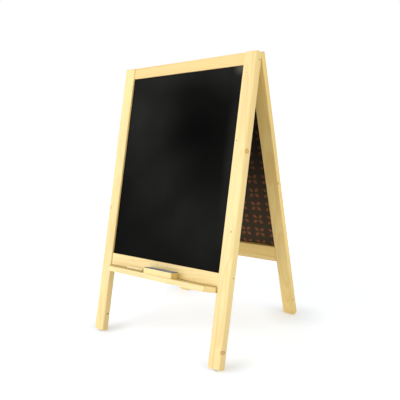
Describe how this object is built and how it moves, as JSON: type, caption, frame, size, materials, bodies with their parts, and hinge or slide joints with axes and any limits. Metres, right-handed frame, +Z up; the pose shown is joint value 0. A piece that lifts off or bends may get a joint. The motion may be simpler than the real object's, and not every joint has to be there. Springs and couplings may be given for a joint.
{
  "type": "sandwich board",
  "caption": "Folding A-shaped sandwich board: twin pine frames with framed chalkboards, hinged at the top, with chalk ledges, an eraser and a stick of chalk.",
  "frame": {"origin": "on the floor, under the middle of the open board", "axes": "+X to the right of a reader of the front board, +Y to the rear, +Z up"},
  "size_m": [0.6, 0.5914, 1.0236],
  "materials": {
    "pine": "planed pine, clear satin varnish",
    "chalkboard": "matt black chalkboard paint on hardboard",
    "printed_backing": "printed decor paper on hardboard, dark brown with a leaf motif",
    "hinge_brass": "brushed",
    "brass_screw": "plated",
    "dark_steel": "dark phosphated",
    "zinc_screw": "zinc plated",
    "nylon": "moulded nylon",
    "eraser_wood": "plain sanded",
    "felt": "wool felt",
    "chalk": "dry pressed chalk"
  },
  "bodies": {
    "front_frame": {"front_backing_sheet": "printed_backing", "front_board_pins": "dark_steel", "front_bottom_rail": "pine", "front_chalkboard": "chalkboard", "front_frame_dowels": "pine", "front_ledge": "pine", "front_ledge_screws": "zinc_screw", "front_left_glide": "nylon", "front_left_stile": "pine", "front_right_glide": "nylon", "front_right_stile": "pine", "front_top_rail": "pine", "left_hinge_front_leaf": "hinge_brass", "left_hinge_front_screws": "brass_screw", "left_hinge_pin": "hinge_brass", "right_hinge_front_leaf": "hinge_brass", "right_hinge_front_screws": "brass_screw", "right_hinge_pin": "hinge_brass"},
    "rear_frame": {"left_hinge_rear_leaf": "hinge_brass", "left_hinge_rear_screws": "brass_screw", "rear_backing_sheet": "printed_backing", "rear_board_pins": "dark_steel", "rear_bottom_rail": "pine", "rear_chalkboard": "chalkboard", "rear_frame_dowels": "pine", "rear_ledge": "pine", "rear_ledge_screws": "zinc_screw", "rear_left_glide": "nylon", "rear_left_stile": "pine", "rear_right_glide": "nylon", "rear_right_stile": "pine", "rear_top_rail": "pine", "right_hinge_rear_leaf": "hinge_brass", "right_hinge_rear_screws": "brass_screw"},
    "eraser": {"eraser_block": "eraser_wood", "eraser_felt": "felt"},
    "chalk": {"chalk_stick": "chalk"}
  },
  "joints": [
    {"name": "fold", "type": "hinge", "parent": "front_frame", "child": "rear_frame", "pos_m": [0, 0, 1.00499], "axis": [-1, 0, 0], "range_deg": [0, 30]},
    {"name": "eraser_lift", "type": "slide", "parent": "front_frame", "child": "eraser", "axis": [0, 0.2588, 0.9659], "range_m": [0, 0.12]},
    {"name": "chalk_lift", "type": "slide", "parent": "front_frame", "child": "chalk", "axis": [0, 0.2588, 0.9659], "range_m": [0, 0.12]}
  ]
}
